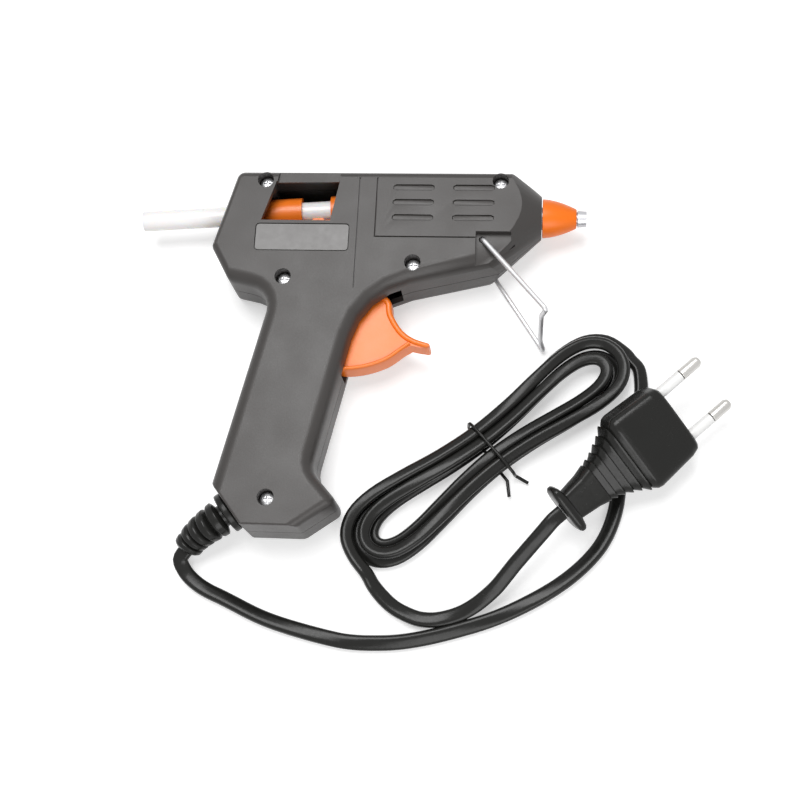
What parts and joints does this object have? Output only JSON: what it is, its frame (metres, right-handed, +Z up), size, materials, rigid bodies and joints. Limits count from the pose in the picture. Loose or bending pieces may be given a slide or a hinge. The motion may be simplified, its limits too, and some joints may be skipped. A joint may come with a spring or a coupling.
{
  "type": "hot glue gun",
  "caption": "Mini hot glue gun on its side: trigger-fed glue stick, heated nozzle, folding wire stand, and a mains cord tied in a hank with a two-pin plug.",
  "frame": {"origin": "on the table, on the left half's flat outer face, in line with the trigger's pivot", "axes": "+X to the nozzle, +Y to the gun's top, +Z up from the table through the gun's thickness"},
  "size_m": [0.21, 0.1646, 0.0331],
  "materials": {
    "case_black": "fine moulded grain",
    "label_grey": "matt, blank",
    "orange_plastic": "satin moulded",
    "orange_silicone": "satin",
    "hot_melt_glue": "waxy, translucent white",
    "white_silicone": "matt",
    "cast_aluminium": "cast",
    "ceramic": null,
    "brass": "rolled sheet",
    "polyimide_film": "amber film",
    "brown_wire": "insulated wire",
    "blue_wire": "insulated wire",
    "plated_steel": "bright plated",
    "spring_steel": "drawn wire",
    "plated_brass": "nickel plated",
    "white_plastic": "satin",
    "cord_black": "PVC, satin"
  },
  "bodies": {
    "casing": {"left_shell": "case_black", "right_shell": "case_black", "rating_label": "label_grey", "case_screw_1": "plated_steel", "case_screw_2": "plated_steel", "case_screw_3": "plated_steel", "case_screw_4": "plated_steel", "case_screw_5": "plated_steel", "trigger_pivot_pin": "plated_steel", "return_spring": "spring_steel", "inlet_sleeve": "white_silicone", "sleeve_clip": "spring_steel", "melt_chamber": "cast_aluminium", "nozzle_tip": "cast_aluminium", "nozzle_sleeve": "orange_silicone", "ptc_heater": "ceramic", "electrode_live": "brass", "electrode_neutral": "brass", "insulation_live": "polyimide_film", "insulation_neutral": "polyimide_film", "live_wire": "brown_wire", "neutral_wire": "blue_wire", "live_wire_terminal": "plated_steel", "neutral_wire_terminal": "plated_steel", "cord_tail": "cord_black", "cord_clamp_bar": "case_black", "clamp_screw_1": "plated_steel", "clamp_screw_2": "plated_steel", "strain_relief": "cord_black", "mains_cord_lead": "cord_black", "cord_hank": "cord_black", "mains_cord_plug_lead": "cord_black", "cord_tie": "cord_black", "plug_body": "cord_black", "plug_pin_1": "plated_brass", "plug_pin_2": "plated_brass", "pin_sleeve_1": "white_plastic", "pin_sleeve_2": "white_plastic"},
    "trigger": {"trigger": "orange_plastic"},
    "carriage": {"feed_carriage": "orange_plastic", "gripper_pin": "plated_steel"},
    "gripper": {"stick_gripper": "plated_steel"},
    "stick": {"glue_stick": "hot_melt_glue"},
    "stand": {"stand_wire": "plated_steel"}
  },
  "joints": [
    {"name": "trigger_pull", "type": "hinge", "parent": "casing", "child": "trigger", "pos_m": [0, 0, 0.0125], "axis": [0, 0, -1], "range_deg": [0, 17], "stiffness_Nm_per_rad": 0.15, "springref_deg": -5.73, "deforming": ["return_spring"]},
    {"name": "carriage_slide", "type": "slide", "parent": "casing", "child": "carriage", "axis": [0.9976, 0.0698, 0], "range_m": [0, 0.0073]},
    {"name": "stick_slide", "type": "slide", "parent": "casing", "child": "stick", "axis": [0.9976, 0.0698, 0], "range_m": [0, 0.0073]},
    {"name": "gripper_tilt", "type": "hinge", "parent": "carriage", "child": "gripper", "pos_m": [-0.01113, 0.02757, 0.0125], "axis": [0, 0, -1], "range_deg": [0, 6]},
    {"name": "stand_swing", "type": "hinge", "parent": "casing", "child": "stand", "pos_m": [0.04816, 0.01857, 0.0125], "axis": [0, 0, 1], "range_deg": [-38, 42]}
  ],
  "couplings": [
    {"joint": "carriage_slide", "follows": "trigger_pull", "m_per_rad": 0.0237},
    {"joint": "stick_slide", "follows": "trigger_pull", "m_per_rad": 0.0237},
    {"joint": "gripper_tilt", "follows": "trigger_pull", "ratio": 0.35}
  ]
}
